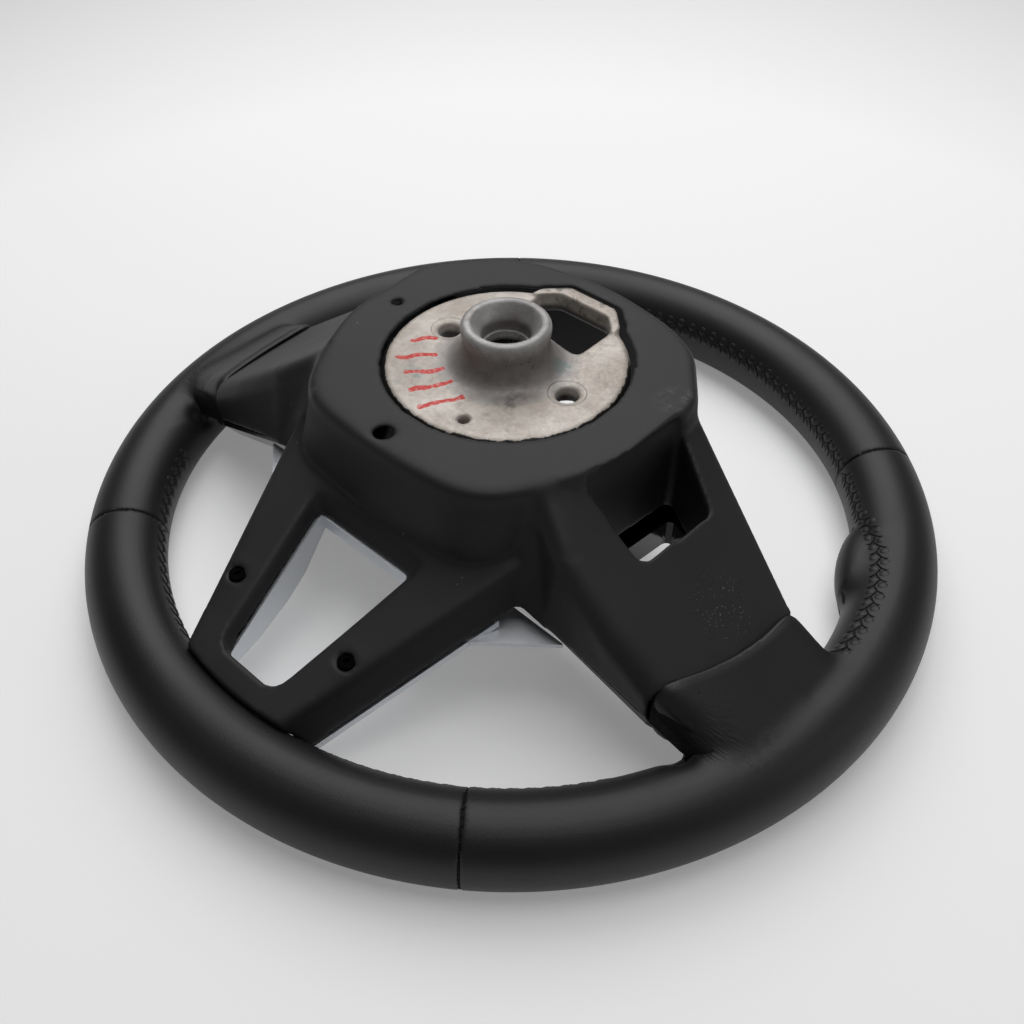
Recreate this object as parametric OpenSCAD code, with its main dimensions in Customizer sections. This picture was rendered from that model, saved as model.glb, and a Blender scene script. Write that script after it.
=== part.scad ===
// Car steering wheel with three spokes, the lower one split in two legs. It is bare: no airbag
// module, switch packs or wiring. It lies face down. Z is the column axis, with Z = 0 at the
// driver's side of the rim and +Z towards the column, and +Y is 12 o'clock.

/* [Rim] */
// Outer diameter of the rim
rim_d = 370; // [362:1:380]
// Diameter of the grip's round section
grip_d = 34; // [32:0.5:36]
// Thickness of the leather
leather_t = 1.2; // [0.9:0.1:1.6]
// Diameter of the cast ring inside the rim
ring_d = 12; // [9:0.5:15]
// How far each thumb rest swells inwards
thumb_rest = 6.7; // [3:0.1:8]
// Angle of the upper radial seams above 3 and 9 o'clock
seam_up = 48.7; // [46:0.1:52]
// Angle of the lower radial seams below 3 and 9 o'clock
seam_down = 51.4; // [49:0.1:55]
// How far the leather wrap is turned round the rim
wrap_turn = -1.3; // [-2:0.1:2]
// Distance from one lace stitch to the next
lace_pitch = 5; // [4:0.25:8]
// Diameter of the lace
lace_d = 1; // [0.7:0.1:1.2]

/* [Hub] */
// Height of the hub plate's column face above the rim's front
plate_z = 96; // [94:0.5:98]
// Diameter of the hub plate
plate_d = 98; // [96:0.5:99]
// Thickness of the hub plate
plate_t = 8; // [6:0.5:9]
// Diameter of the boss at its lip
boss_d = 36.6; // [35:0.2:38]
// Height of the boss above the hub plate
boss_h = 18.8; // [16:0.2:20]
// Bore between the tips of the spline teeth
spline_d = 18; // [16:0.2:18.4]
// Number of spline teeth
spline_teeth = 44; // [36:1:48]
// Length of the splined bush
bush_len = 19.5; // [15:0.5:22]
// Outer diameter of the splined bush
bush_d = 26; // [24:0.5:27]
// Distance between the two puller holes
puller_spacing = 64; // [62:0.5:66]
// Diameter of the puller holes
puller_d = 9.5; // [7:0.1:10.5]
// Width of the wiring window
window_w = 39; // [34:0.5:40]
// Distance from the wheel's axis to the far side of the wiring window
window_far = 48.7; // [46:0.1:49]

/* [Rear cover] */
// Height of the cover's flat face above the rim's front
face_z = 97.2; // [97:0.1:99]
// Wall of the rear cover
cover_t = 2.5; // [2:0.1:3]
// Height of the bowl's open edge
bowl_edge_z = 48; // [46:0.5:50]
// How far the bowl's wall leans out from its face to its edge
bowl_flare = 3; // [1:0.5:6]
// Gap between the hub plate and the cover's opening
plate_gap = 2.4; // [1.5:0.1:3]
// Radius at which the cover ends and the leather of the side spokes starts
joint_r = 138.5; // [137:0.25:140]
// Depth of the side spokes from their lower edge to the wheel's axis
spoke_low = 62; // [60:0.5:63]
// Half width of the lower spoke at the bowl
leg_half_hub = 62; // [58:0.5:64]
// Half width of the lower spoke at the rim
leg_half_rim = 28.3; // [27:0.1:30]
// Diameter of the screw wells in the legs
well_d = 7.4; // [7:0.1:8]

/* [Front pieces] */
// Wall of the silver trim
trim_t = 2; // [1.6:0.1:2.4]
// Wall of the bezels
bezel_t = 2.4; // [2:0.1:2.8]
// Height of the bezels' front face at the hub
bezel_z = 18; // [15:0.5:20]
// Diameter of the clip wires
wire_d = 2.4; // [1.8:0.1:2.8]

/* [Hidden] */
$fn = 64;

// Clearance between flat faces, and between curved ones
fit = 0.1;
curved_fit = 0.3;

grip_r = grip_d / 2;
ring_r = rim_d / 2 - grip_r;
foam_r = grip_r - leather_t;
// Half of the slit between two leather panels
seam_gap = 0.6;
seam_thread_d = 0.8;

// Lines of the side spokes, along X
spoke_face_x = 61;
spoke_face_z = face_z - 2;
spoke_fall = 0.68;
spoke_edge_fall = 0.29;
spoke_edge_z = bowl_edge_z + 3;
spoke_up = 31;
spoke_up_x = 76;
spoke_up_fall = 0.36;
// Lower edge of the bezels, as their height at this X and their fall
bezel_low_x = 69;
bezel_low_z = 47.5;
bezel_low_fall = 0.33;

// Lines of the lower spoke, along Y
leg_hub_y = -63;
leg_rim_y = -152;
leg_top_y = -71;
leg_top_z = 64.5;
leg_fall = 0.391;
leg_edge_z = bowl_edge_z + 3;
leg_edge_fall = 0.425;
leg_draft = 3.5;
leg_end_r = 155;

// Screws at the bottom of the wells in the legs
leg_screw_at = [32, -122];
screw_d = 4;
screw_head_d = 7;
screw_head_h = 2.4;

// Pocket through the back of one side spoke, as corners with their radii
pocket = [[66, -31.5, 3], [95.8, -32.7, 4], [98.4, 6.8, 4], [71.2, 20.5, 3]];
pocket_floor_z = 31;
// Switch bays in the bezels
bay = [[62, -35, 4], [116, -35, 6], [118.5, 8, 6], [68.5, 28.5, 3]];
bezel_screw_at = [[128.5, 1], [128.5, -25]];

wire_x = 59;
wire_z = 80;
wire_low = -46;
wire_high = 24;

function xy(p) = [p[0], p[1]];
function unit(v) = v / norm(v);
function at(z_at, ring) = [for (p = ring) [p[0], p[1], z_at]];
function mix(a, b, t) = a + (b - a) * t;

// The side spokes' top face, its corner above the lower wall, their lower and upper sides and edges
function spoke_top(x) = spoke_face_z - spoke_fall * max(x - spoke_face_x, 0);
function spoke_corner(x) = lookup(x, [[48, -46], [61, -49], [77, -58], [92, -61.5], [105, -63.5], [142, -64.5]]);
function spoke_wall(x) = lookup(x, [[48, -66], [67, -65], [92, -62.5], [142, -spoke_low]]);
function spoke_edge(x) = spoke_edge_z - spoke_edge_fall * (x - spoke_face_x);
function spoke_high(x) = spoke_up - spoke_up_fall * (x - spoke_up_x);

// Half the angle and the inward direction at each corner of a convex outline
function neighbour(list, i, step) = xy(list[(i + step + len(list)) % len(list)]);
function to_last(list, i) = unit(neighbour(list, i, -1) - xy(list[i]));
function to_next(list, i) = unit(neighbour(list, i, 1) - xy(list[i]));
function half_angle(list, i) = acos(to_last(list, i) * to_next(list, i)) / 2;
function inward(list, i) = unit(to_last(list, i) + to_next(list, i));

// The corners of a convex outline moved outwards by d
function grown(list, d) = [
    for (i = [0:len(list) - 1])
        let (p = xy(list[i]) - inward(list, i) * d / sin(half_angle(list, i)))
        [p[0], p[1], max(list[i][2] + d, 0.4)]
];

// The points of an outline whose corners [x, y, radius] are rounded with n chords each
function rounded(list, n = 4) = [
    for (i = [0:len(list) - 1])
        let (
            r = list[i][2],
            half = half_angle(list, i),
            centre = xy(list[i]) + inward(list, i) * r / sin(half),
            start = xy(list[i]) + to_last(list, i) * r / tan(half) - centre,
            end = xy(list[i]) + to_next(list, i) * r / tan(half) - centre,
            a = atan2(start[1], start[0]),
            turn = (atan2(end[1], end[0]) - a + 540) % 360 - 180
        )
        for (k = [0:n])
            centre + r * [cos(a + turn * k / n), sin(a + turn * k / n)]
];

function arc(centre, r, a0, a1, n) = [
    for (k = [0:n]) centre + r * [cos(mix(a0, a1, k / n)), sin(mix(a0, a1, k / n))]
];

// A skin through rings with the same number of points, closed at both ends
module loft(rings) {
    n = len(rings[0]);
    last = len(rings) - 1;
    polyhedron([for (ring = rings) each ring], concat(
        [[for (i = [0:n - 1]) i]],
        [[for (i = [n - 1:-1:0]) last * n + i]],
        [for (k = [0:last - 1], i = [0:n - 1]) [k * n + i, (k + 1) * n + i, (k + 1) * n + (i + 1) % n]],
        [for (k = [0:last - 1], i = [0:n - 1]) [k * n + i, (k + 1) * n + (i + 1) % n, k * n + (i + 1) % n]]
    ));
}

// A plan outline cut to a side profile given in X and Z, or in Y and Z
module plan_by_xz(plan, profile) intersection() {
    translate([0, 0, -10]) linear_extrude(140) polygon(plan);
    translate([0, 200, 0]) rotate([90, 0, 0]) linear_extrude(400) polygon(profile);
}

module plan_by_yz(plan, profile) intersection() {
    translate([0, 0, -10]) linear_extrude(140) polygon(plan);
    translate([-200, 0, 0]) rotate([90, 0, 90]) linear_extrude(400) polygon(profile);
}

module both_sides() for (side = [0, 1]) mirror([side, 0, 0]) children();

// A pie-shaped block that keeps the angles from a0 to a1
module sector(a0, a1, r = 200) rotate(a0) rotate_extrude(angle = a1 - a0)
    translate([0, -10]) square([r, 140]);

module torus(r) translate([0, 0, grip_r]) rotate_extrude($fn = 96) translate([ring_r, 0]) circle(r);

// Armature

window = [
    [-window_w / 2, 21.5, 2.5], [window_w / 2, 21.5, 2.5], [window_w / 2, window_far - 6, 3],
    [window_w / 2 - 6.5, window_far, 3], [6.5 - window_w / 2, window_far, 3], [-window_w / 2, window_far - 6, 3]
];
tab = [
    [-window_w / 2 - 2.5, 25, 1], [window_w / 2 + 2.5, 25, 1], [window_w / 2 + 2.5, window_far - 3, 4],
    [window_w / 2 - 7, window_far + 6.5, 4], [7 - window_w / 2, window_far + 6.5, 4],
    [-window_w / 2 - 2.5, window_far - 3, 4]
];
boss_z = plate_z + boss_h;
bush_top_z = boss_z - 11.3;
bush_z = bush_top_z - bush_len;
dish_r = 9.9;
dish_depth = 6.2;
boss_r = boss_d / 2;
foot_r = 9;

module hub_casting() {
    plate_r = plate_d / 2;
    under_z = plate_z - plate_t;
    rotate_extrude($fn = 96) polygon(concat(
        [[bush_d / 2, bush_z], [bush_d / 2, bush_top_z], [dish_r, bush_top_z], [dish_r, boss_z - dish_depth],
         [boss_r - 4.2, boss_z - 0.4], [boss_r - 3.4, boss_z]],
        arc([boss_r - 2.6, boss_z - 2.6], 2.6, 80, 0, 4),
        [[boss_r - 0.5, boss_z - 6]],
        arc([boss_r - 0.8 + foot_r, plate_z + foot_r], foot_r, 180, 270, 6),
        [[plate_r - 0.6, plate_z], [plate_r, plate_z - 0.6], [plate_r, plate_z - 1.4], [plate_r + 1, plate_z - 1.4],
         [plate_r + 1, under_z + 0.6], [plate_r + 0.4, under_z], [bush_d / 2 + 12, under_z], [bush_d / 2 + 5, bush_z]]
    ));
    translate([0, 0, under_z]) linear_extrude(plate_t) polygon(rounded(tab));
    // Raised lip round the far side of the window
    difference() {
        translate([0, 0, plate_z - 1]) linear_extrude(2.4) polygon(rounded(tab));
        translate([0, 0, plate_z - 2]) cylinder(r = plate_r - 2.5, h = 5);
    }
}

side_arm_plan = [
    [24, -26], [44, -14], [62, -38], [128, -38], [152, -34], [167, -30], [167, -46], [150, -50],
    [74, -50], [40, -42]
];
side_arm_profile = [
    [20, 84], [45, 84], [54, 70], [66, 56], [76, 48], [107, 37], [128, 27], [140, 19], [152, 13],
    [167, 12], [167, 22], [152, 23], [140, 28], [128, 35.5], [107, 45], [76, 57], [66, 66], [58, 77],
    [48, 93], [20, 93]
];
lower_arm_plan = [
    [12, -40], [24, -62], [35.5, -81], [20.5, -148], [20.5, -163], [27, -163], [27, -148], [53, -71],
    [36, -32]
];
function under_leg(y) = leg_top_z + (y - leg_top_y) * leg_fall - cover_t - 1.5;
lower_arm_profile = [
    [-20, 93], [-46, 93], [-52, 78], [-60, under_leg(-60)], [-126, under_leg(-126)], [-146, 28.2],
    [-150, 24.4], [-163, 21], [-163, 14], [-148, 22], [-126, under_leg(-126) - 7.5],
    [-60, under_leg(-60) - 7.5], [-52, 62], [-40, 84], [-20, 84]
];
rib_w = 4;

module side_arm() {
    plan_by_xz(side_arm_plan, side_arm_profile);
    // Stiffening rib under the arm
    translate([70, -44 + rib_w / 2, 0]) rotate([90, 0, 0]) linear_extrude(rib_w)
        polygon([[0, 46], [-4, 62], [37, 39], [58, 29], [56, 24], [36, 31]]);
}

module clip_lug() {
    // Lug beside the hub plate and post on the side arm, both bored for the clip wire
    translate([plate_d / 2 - 12, 15, wire_z - 4]) cube([wire_x - plate_d / 2 + 17, 9, 15]);
    translate([wire_x - 4, -48, wire_z - 14]) cube([8, 8, 18]);
}

module armature() color("silver") difference() {
    union() {
        hub_casting();
        both_sides() {
            side_arm();
            plan_by_yz(lower_arm_plan, lower_arm_profile);
            clip_lug();
        }
        torus(ring_d / 2);
    }
    translate([0, 0, bush_z - 1]) cylinder(r = bush_d / 2, h = bush_len + 1);
    translate([0, 0, plate_z - 30]) linear_extrude(40) polygon(rounded(window));
    both_sides() {
        translate([puller_spacing / 2, 0, plate_z - 30]) cylinder(r = puller_d / 2, h = 40);
        translate([puller_spacing / 2, 0, plate_z - 0.7]) cylinder(r = puller_d / 2 + 2.4, h = 5);
        translate([wire_x, -60, wire_z]) rotate([-90, 0, 0]) cylinder(r = wire_d / 2 + curved_fit, h = 100);
        translate([leg_screw_at[0], leg_screw_at[1], 0]) cylinder(r = screw_d / 2 + curved_fit, h = 60);
        // Flat seat for the cover's screw boss
        translate([leg_screw_at[0], leg_screw_at[1], well_seat_z - fit]) cylinder(r = well_d / 2 + 2, h = 20);
    }
    translate([12.6, -38, plate_z - 20]) cylinder(r = 2.4, h = 30);
}

// The splined bush, cast into the boss
module spline_bush() color("lightslategray") difference() {
    translate([0, 0, bush_z]) cylinder(r = bush_d / 2 - curved_fit, h = bush_len - fit);
    translate([0, 0, bush_z - 1]) cylinder(r = spline_d / 2, h = bush_len + 2);
    for (k = [0:spline_teeth - 1]) rotate(k * 360 / spline_teeth)
        translate([spline_d / 2 - 0.4, -0.14, bush_z - 1]) cube([0.9, 0.28, bush_len + 2]);
}

// Rim: foam, leather and threads

// Section of the spoke root at x, set in by d from its leather
root_ends = [118, 139, 152, 166];
function root_top(x) = x < joint_r ? spoke_top(x) : mix(spoke_top(joint_r), grip_d - 3, (x - joint_r) / 28);
function root_ring(x, d) = [
    for (p = rounded([
        [-spoke_low - 0.5 + d, spoke_edge(min(x, joint_r)) - 2, 2],
        [-spoke_low - 0.5 + d, mix(spoke_edge(min(x, joint_r)), root_top(x), 0.3), 2],
        [spoke_corner(x) + d + 4, root_top(x) - d, 7],
        [9.5 - d, root_top(x) - d, 3],
        [9.5 - d, 13 + d, 4],
        [-48 + d, 13 + d, 4]
    ])) [x, p[0], p[1]]
];

// The thumb rest bulges from the inside of the rim at this angle, as part of a wide disc
thumb_angle = 25.5;
thumb_disc_r = 79;
module thumb_swell(d) intersection() {
    rotate(thumb_angle) translate([ring_r - grip_r - thumb_rest + thumb_disc_r, 0, grip_r])
        rotate_extrude() polygon([
            [0, d - 10], [thumb_disc_r - 5, d - 10], [thumb_disc_r - d, -4], [thumb_disc_r - d, 4],
            [thumb_disc_r - 5, 10 - d], [0, 10 - d]
        ]);
    cylinder(r = ring_r, h = 60);
}

// Spoke root and thumb rest, set in by d
module root_body(d) difference() {
    union() {
        loft([for (k = [3:-1:0]) root_ring(root_ends[k], d)]);
        thumb_swell(d);
    }
    translate([0, 0, -2]) cylinder(r = joint_r + curved_fit, h = 90);
}

// Everything inside the leather's face between two angles, set in by d
module grip_body(d, a0, a1, with_root) intersection() {
    union() {
        torus(grip_r - d);
        if (with_root) root_body(d);
    }
    sector(a0, a1);
}

// Room for the arms inside the foam and through the leather
module arm_passages() both_sides() {
    translate([0, -29.5, 0]) rotate([90, 0, 0]) linear_extrude(21) polygon([
        [127, 24.5], [140, 18.5], [152, 12.5], [168, 11.5], [168, 22.5], [152, 23.5], [140, 28.5], [127, 36.6]
    ]);
    translate([20, 0, 0]) rotate([90, 0, 90]) linear_extrude(7.5)
        polygon([[-164, 21.2], [-164, 13.2], [-145, 22.6], [-145, 30.6]]);
}

module rim_foam() color("dimgray") difference() {
    union() {
        torus(foam_r - curved_fit);
        both_sides() root_body(leather_t + curved_fit);
    }
    torus(ring_d / 2 + curved_fit);
    arm_passages();
}

// One leather panel between two radial seams
module leather_panel(a0, a1, with_root = false) {
    slit = seam_gap / ring_r * 180 / PI;
    difference() {
        grip_body(0, a0 + slit, a1 - slit, with_root);
        grip_body(leather_t, a0 - 1, a1 + 1, with_root);
        // The groove where the two long edges of the panel meet
        translate([0, 0, grip_r]) rotate_extrude($fn = 96)
            translate([ring_r - grip_r + 0.7, 0]) rotate(135) square(2);
        arm_passages();
    }
}

right_up = seam_up + wrap_turn;
right_down = wrap_turn - seam_down;
left_up = seam_up - wrap_turn;
left_down = -wrap_turn - seam_down;

module leather_top() color([0.15, 0.15, 0.16]) leather_panel(right_up, 180 - left_up);
module leather_right() color([0.14, 0.14, 0.15]) leather_panel(right_down, right_up, true);
module leather_bottom() color([0.15, 0.15, 0.16]) leather_panel(180 - left_down, 360 + right_down);
module leather_left() color([0.14, 0.14, 0.15]) mirror([1, 0, 0]) leather_panel(left_down, left_up, true);

// Slanted stitches across the groove on the inside of the rim, from angle a0 to a1
module stitches(a0, a1) {
    lace_r = ring_r - grip_r - curved_fit - lace_d / 2;
    step = lace_pitch / lace_r * 180 / PI;
    count = floor((a1 - a0) / step);
    for (k = [0:count - 1]) rotate(a0 + (k + 0.5) * (a1 - a0) / count)
        translate([lace_r, 0, grip_r]) rotate([k % 2 == 0 ? 20 : -20, 0, 0])
            cylinder(r = lace_d / 2, h = 8, center = true, $fn = 24);
}

// Angles at which the lace stops at the spoke roots, thumb rests and legs
root_low_angle = 29;
swell_end_angle = 37;
leg_end_angle = 13;

module side_stitches(down, up) {
    stitches(swell_end_angle, up - 0.5);
    stitches(down + 0.5, -root_low_angle);
}

module lace_top() color("black") stitches(right_up + 0.5, 179.5 - left_up);
module lace_right() color("black") side_stitches(right_down, right_up);
module lace_bottom() color("black") {
    stitches(180.5 - left_down, 270 - leg_end_angle);
    stitches(270 + leg_end_angle, 359.5 + right_down);
}
module lace_left() color("black") mirror([1, 0, 0]) side_stitches(left_down, left_up);

// The thread ring that lies in the slit between two panels
module seam_thread(angle) color("black") rotate(angle) translate([ring_r, 0, grip_r]) rotate([90, 0, 0])
    rotate_extrude() translate([mix(foam_r, grip_r, 0.5), 0]) circle(seam_thread_d / 2, $fn = 24);

module seam_upper_right() seam_thread(right_up);
module seam_lower_right() seam_thread(right_down);
module seam_lower_left() seam_thread(180 - left_down);
module seam_upper_left() seam_thread(180 - left_up);

// Rear cover

// Corners of the bowl's face, counter-clockwise from 6 o'clock
bowl_half = [[50, -70.5, 20], [73.2, -20, 50], [74.5, 28, 22], [54, 54, 30], [36, 62.5, 60]];
bowl = concat(
    [[0, -74, 200]],
    bowl_half,
    [[0, 68.5, 100]],
    [for (i = [len(bowl_half) - 1:-1:0]) [-bowl_half[i][0], bowl_half[i][1], bowl_half[i][2]]]
);

module bowl_body(d) loft([
    at(d == 0 ? bowl_edge_z : bowl_edge_z - 5, rounded(grown(bowl, bowl_flare - d))),
    at(bowl_edge_z, rounded(grown(bowl, bowl_flare - d))),
    at(mix(bowl_edge_z, face_z, 0.55), rounded(grown(bowl, bowl_flare * 0.46 - d))),
    at(face_z - d - 2.8, rounded(grown(bowl, -d))),
    at(face_z - d - 0.9, rounded(grown(bowl, -d - 0.7))),
    at(face_z - d, rounded(grown(bowl, -d - 2.6)))
]);

// Section of a side spoke at x, set in by d
function spoke_ring(x, d) = [
    for (p = rounded([
        [spoke_wall(x) + d, spoke_edge(x) - (d > 0 ? 12 : 0), 0.5],
        [spoke_corner(x) + d, spoke_top(x) - d, 9],
        [spoke_high(x) - d, spoke_top(x) - d, 2.5],
        [spoke_high(x) + (d > 0 ? -d : 1), spoke_edge(x) - (d > 0 ? 12 : 0), 0.5]
    ])) [x, p[0], p[1]]
];

module spoke_body(d) intersection() {
    loft([for (x = [142, 124, 105, 92, 77, spoke_face_x, 48]) spoke_ring(x, d)]);
    translate([0, 0, -10]) cylinder(r = joint_r + d, h = 140, $fn = 128);
}

function leg_top(y) = leg_top_z + (y - leg_top_y) * leg_fall;
function leg_edge(y) = leg_edge_z + (y - leg_hub_y) * leg_edge_fall;
function leg_half(y) = mix(leg_half_hub, leg_half_rim, (leg_hub_y - y) / (leg_hub_y - leg_rim_y));

// Section of the whole lower spoke at y, set in by d
function leg_ring(y, d) = [
    for (p = rounded([
        [-leg_half(y) - leg_draft + d, leg_edge(y) - (d > 0 ? 12 : 0), 0.5],
        [leg_half(y) + leg_draft - d, leg_edge(y) - (d > 0 ? 12 : 0), 0.5],
        [leg_half(y) - d, leg_top(y) - d, 3.5],
        [-leg_half(y) + d, leg_top(y) - d, 3.5]
    ])) [p[0], y, p[1]]
];

module leg_body(d) intersection() {
    loft([for (y = [-50, leg_hub_y, -90, -120, leg_rim_y, -158]) leg_ring(y, d)]);
    translate([0, 0, -10]) cylinder(r = leg_end_r - d, h = 140, $fn = 128);
}

// The trapezoid window between the legs, at a depth below their top, grown by d
leg_window_face = [[-31, -79, 3], [-16.8, -145.5, 7], [16.8, -145.5, 7], [31, -79, 3]];
leg_window_deep = [[-25.4, -83.4, 2], [-13.4, -144.3, 5], [13.4, -144.3, 5], [25.4, -83.4, 2]];
window_bevel = 7;
leg_window_lip = [for (k = [0:3]) mix(leg_window_deep[k], leg_window_face[k], 1 + 2 / window_bevel)];
function leg_window_ring(outline, d, depth) = [
    for (p = rounded(grown(outline, d))) [p[0], p[1], leg_top(p[1]) - depth]
];
module leg_window(d, depth = 60) loft([
    leg_window_ring(leg_window_deep, d, depth),
    leg_window_ring(leg_window_deep, d, window_bevel - 0.1),
    leg_window_ring(leg_window_lip, d, -2),
    leg_window_ring(leg_window_lip, d, -15)
]);

module pocket_well(d) loft([
    at(pocket_floor_z - 20 * (d > 0 ? 0 : 1), rounded(grown(pocket, d - 0.8))),
    at(96, rounded(grown(pocket, d)))
]);

opening = [
    [-window_w / 2 - 4, 30, 1], [window_w / 2 + 4, 30, 1], [window_w / 2 + 4, window_far - 1.5, 4],
    [window_w / 2 - 6.5, window_far + 8.3, 4], [6.5 - window_w / 2, window_far + 8.3, 4],
    [-window_w / 2 - 4, window_far - 1.5, 4]
];

// Screw boss under each leg's well
well_seat_z = under_leg(leg_screw_at[1]) + fit;

module cover_solid() {
    bowl_body(0);
    both_sides() spoke_body(0);
    leg_body(0);
}

module cover_hollow() {
    bowl_body(cover_t);
    both_sides() spoke_body(cover_t);
    difference() {
        leg_body(cover_t);
        leg_window(cover_t - 0.3, window_bevel);
    }
}

module rear_cover() color([0.2, 0.2, 0.21]) difference() {
    union() {
        difference() {
            cover_solid();
            difference() {
                cover_hollow();
                pocket_well(cover_t - 0.3);
            }
            pocket_well(0);
            leg_window(0);
        }
        both_sides() {
            // Boss round each leg's screw and posts for the bezel screws
            translate([leg_screw_at[0], leg_screw_at[1], well_seat_z])
                cylinder(r = well_d / 2 + 1.3, h = leg_top(leg_screw_at[1]) - well_seat_z - 1);
            for (p = bezel_screw_at) translate([p[0], p[1], bezel_post_z])
                cylinder(r = 3.5, h = spoke_top(p[0] + 3.5) - bezel_post_z - 0.5);
        }
    }
    translate([0, 0, 80]) cylinder(r = plate_d / 2 + plate_gap, h = 40, $fn = 96);
    translate([0, 0, 80]) linear_extrude(40) polygon(rounded(opening));
    both_sides() {
        translate([leg_screw_at[0], leg_screw_at[1], well_seat_z + 1.2]) cylinder(r = well_d / 2, h = 60);
        translate([leg_screw_at[0], leg_screw_at[1], 0]) cylinder(r = screw_d / 2 + 0.3, h = 60);
        for (p = bezel_screw_at) translate([p[0], p[1], 0]) cylinder(r = 1.5, h = bezel_post_z + 10);
    }
    // Release holes for the clip wires and a locating hole
    translate([-61.5, -1.8, 85]) cylinder(r = 2.2, h = 20);
    translate([-4, -64, 85]) cylinder(r = 3.4, h = 20);
    translate([25.5, 50.5, 85]) cylinder(r = 0.9, h = 20);
    torus(grip_r + curved_fit);
}

// Front pieces

// U-shaped section of the silver trim along one leg, at y
function trim_inner_x(y) = mix(25.4, 13.4, (-83.4 - y) / 60.9) - 0.2;
function trim_outer_x(y) = leg_half(y) + leg_draft - 0.3;
function trim_drop(y) = lookup(y, [[-146, 7], [-128, 13], [-110, 16], [-97, 15.5], [-83, 9.5], [-64, 6]]);
function trim_inner_z(y) = leg_top(y) - window_bevel - 0.3;
function trim_floor_z(y) = trim_inner_z(y) - trim_drop(y);
function trim_edge_z(y) = leg_edge(y) - 0.3;
function trim_ring(y) = let (xi = trim_inner_x(max(y, -146)), xo = trim_outer_x(y), zo = trim_edge_z(y)) [
    [xi, y, trim_inner_z(y)], [xi, y, trim_floor_z(y)], [xo - 2, y, zo - 5], [xo, y, zo - 3.5], [xo, y, zo]
];
function trim_hollow(y, past) = let (xi = trim_inner_x(max(y, -146)) + trim_t, xo = trim_outer_x(y) - trim_t) [
    [xi, y + past, trim_inner_z(y) + 9], [xi, y + past, trim_floor_z(y) + trim_t],
    [xo, y + past, trim_edge_z(y) - 1.9], [xo + 8, y + past, trim_edge_z(y) + 4.6]
];
trim_sections = [-72, -83.6, -97, -110, -128, -146];

// Web of the trim in the corner between a leg and a side spoke
web = [[52, -60], [52, -84], [57.9, -84], [84, -61.9], [84, -61.3]];

module lower_trim() color([0.66, 0.69, 0.73]) difference() {
    union() {
        both_sides() {
            difference() {
                loft([for (y = trim_sections) trim_ring(y)]);
                loft([for (y = trim_sections) trim_hollow(y, y == -72 ? 1 : y == -146 ? -1 : 0)]);
            }
            translate([0, 0, trim_edge_z(-84) - trim_t]) linear_extrude(trim_t) polygon(web);
        }
        // Cross walls at the hub and rim ends of the window
        translate([-26.5, -83.2, trim_inner_z(-83.6) - 6]) cube([53, trim_t, 6]);
        translate([-16, -146.4, trim_inner_z(-146) - 7]) cube([32, trim_t, 7.4]);
    }
    torus(grip_r + curved_fit);
}

bezel_post_z = bezel_z + bezel_t + 2;
bezel_fall = 0.05;
bezel_wall = 61.4;
bezel_high = [[58, 36.5], [142, 6.2]];

// The bezel's outside, set in by d. Its flank below the lower edge slants in under the spoke.
module bezel_body(d) intersection() {
    plan_by_xz(
        [[58 + d, d - bezel_wall], [142, d - bezel_wall], [142, 6.2 - d], [58 + d, 36.5 - d]],
        [[50, bezel_z + d], [146, bezel_z - bezel_fall * 88 + d], [146, spoke_edge(146) - 0.3 + d * 4],
         [50, spoke_edge(50) - 0.3 + d * 4]]
    );
    translate([bezel_low_x, d - bezel_wall, bezel_low_z]) rotate([0, atan(bezel_low_fall), 0])
        translate([-60, 0, d * 0.7]) rotate([90, 0, 90]) linear_extrude(160)
            polygon([[-2, 2.5], [-2, 90], [110, 90], [110, -137.5]]);
    translate([0, 0, -10]) cylinder(r = joint_r - curved_fit, h = 140);
}

module bezel_right() color([0.04, 0.04, 0.05]) difference() {
    intersection() {
        union() {
            difference() {
                bezel_body(0);
                difference() {
                    bezel_body(bezel_t);
                    // End wall along the joint with the leather
                    translate([0, 0, -10]) rotate_extrude() translate([joint_r - curved_fit - bezel_t, 0]) square([9, 140]);
                }
            }
            // Collar round the switch bay and posts for the screws
            translate([0, 0, bezel_z]) linear_extrude(12) polygon(rounded(grown(bay, bezel_t)));
            for (p = bezel_screw_at) translate([p[0], p[1], bezel_z - 6])
                cylinder(r = 4, h = bezel_post_z - bezel_z + 6 - fit);
        }
        bezel_body(0);
    }
    translate([0, 0, -10]) linear_extrude(100) polygon(rounded(bay));
    // Notch for the arm in the end wall
    translate([0, -36.4, 0]) rotate([90, 0, 0]) linear_extrude(14.6)
        polygon([[118, 31], [128, 26.4], [140, 18.4], [146, 14.6], [146, 60], [118, 60]]);
    for (p = bezel_screw_at) translate([p[0], p[1], 0]) {
        cylinder(r = 1.8, h = 60);
        cylinder(r = 3.2, h = bezel_z + 1);
    }
}
module bezel_left() mirror([1, 0, 0]) bezel_right();

// A pan-head screw whose head rests on Z = 0
module screw(d, head_d, head_h, len) {
    translate([0, 0, -len]) cylinder(r = d / 2, h = len);
    difference() {
        cylinder(r = head_d / 2, h = head_h);
        translate([0, 0, head_h - 1.2]) cylinder(r = head_d / 5, h = 2, $fn = 6);
    }
}

module leg_screws() color("dimgray") both_sides()
    translate([leg_screw_at[0], leg_screw_at[1], well_seat_z + 1.2]) screw(screw_d, screw_head_d, screw_head_h, 10);

module bezel_screws() color("dimgray") both_sides()
    for (p = bezel_screw_at) translate([p[0], p[1], bezel_z + 1]) mirror([0, 0, 1]) screw(2.9, 6, 2, 10);

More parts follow.
